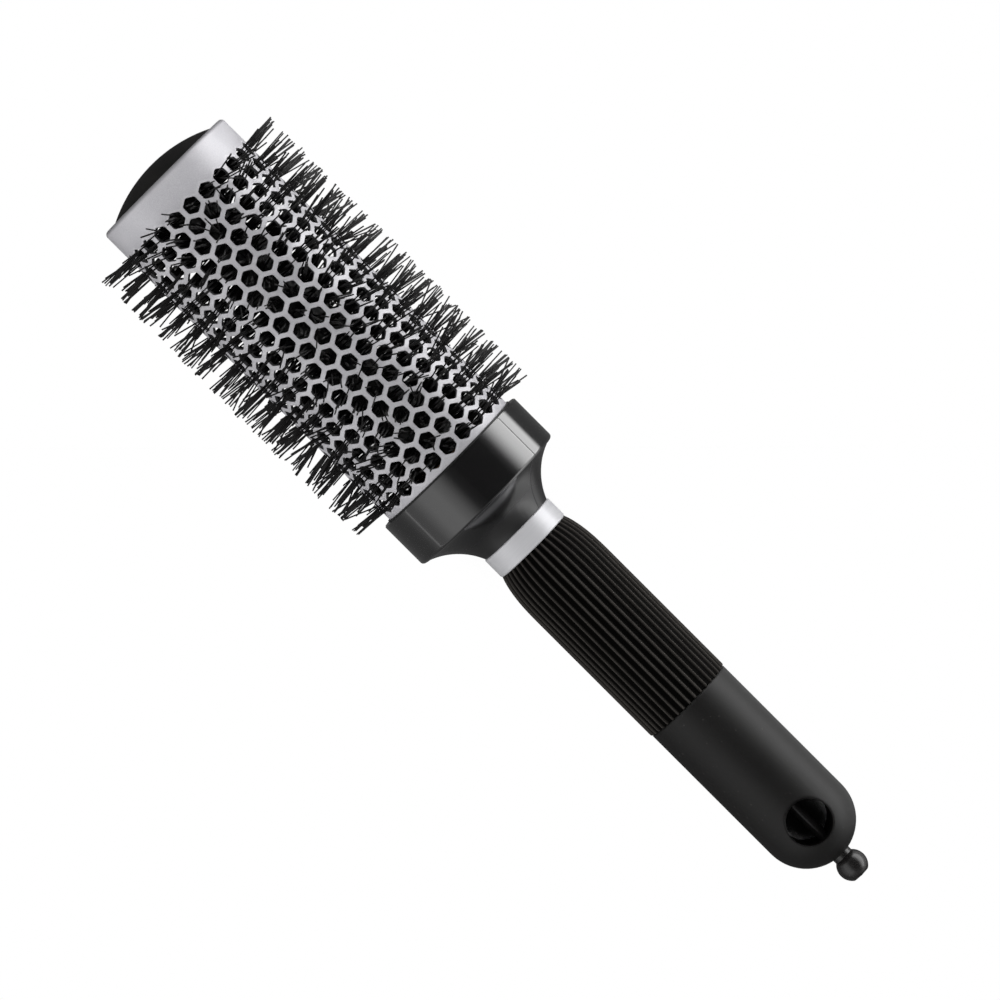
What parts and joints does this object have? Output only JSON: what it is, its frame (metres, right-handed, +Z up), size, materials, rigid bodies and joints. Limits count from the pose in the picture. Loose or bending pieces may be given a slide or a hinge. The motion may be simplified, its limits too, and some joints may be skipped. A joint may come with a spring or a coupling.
{
  "type": "round barrel brush",
  "caption": "Vented round hair brush with a honeycomb barrel, nylon bristles, flared collar, ribbed grip and a sectioning pick that pulls out of its tail.",
  "frame": {"origin": "on the brush's axis, at half its overall length", "axes": "+X along the axis towards the domed tip, +Z up along the hanging hole"},
  "size_m": [0.262, 0.062, 0.062],
  "materials": {
    "ceramic_coated_barrel": "fine ceramic coat, satin",
    "matte_black_cap": "fine-grained matte",
    "stem_wire": "galvanised",
    "nylon_bristle": "smooth nylon",
    "heat_ring_black": "matte",
    "plug_moulding": "plain moulding",
    "gloss_black_collar": "high gloss",
    "satin_ferrule": "satin",
    "grip_rubber": "matte",
    "soft_touch_handle": "soft-touch coat",
    "pick_black": "semi-gloss"
  },
  "bodies": {
    "brush": {"barrel_tube": "ceramic_coated_barrel", "tip_cap": "matte_black_cap", "wire_stem": "stem_wire", "bristles_01": "nylon_bristle", "bristles_02": "nylon_bristle", "bristles_03": "nylon_bristle", "bristles_04": "nylon_bristle", "bristles_05": "nylon_bristle", "bristles_06": "nylon_bristle", "bristles_07": "nylon_bristle", "bristles_08": "nylon_bristle", "bristles_09": "nylon_bristle", "bristles_10": "nylon_bristle", "heat_ring": "heat_ring_black", "barrel_plug": "plug_moulding", "collar": "gloss_black_collar", "ferrule": "satin_ferrule", "grip_sleeve": "grip_rubber", "handle_body": "soft_touch_handle"},
    "pick": {"sectioning_pick": "pick_black"}
  },
  "joints": [
    {"name": "pick_slide", "type": "slide", "parent": "brush", "child": "pick", "axis": [-1, 0, 0], "range_m": [0, 0.05]}
  ]
}
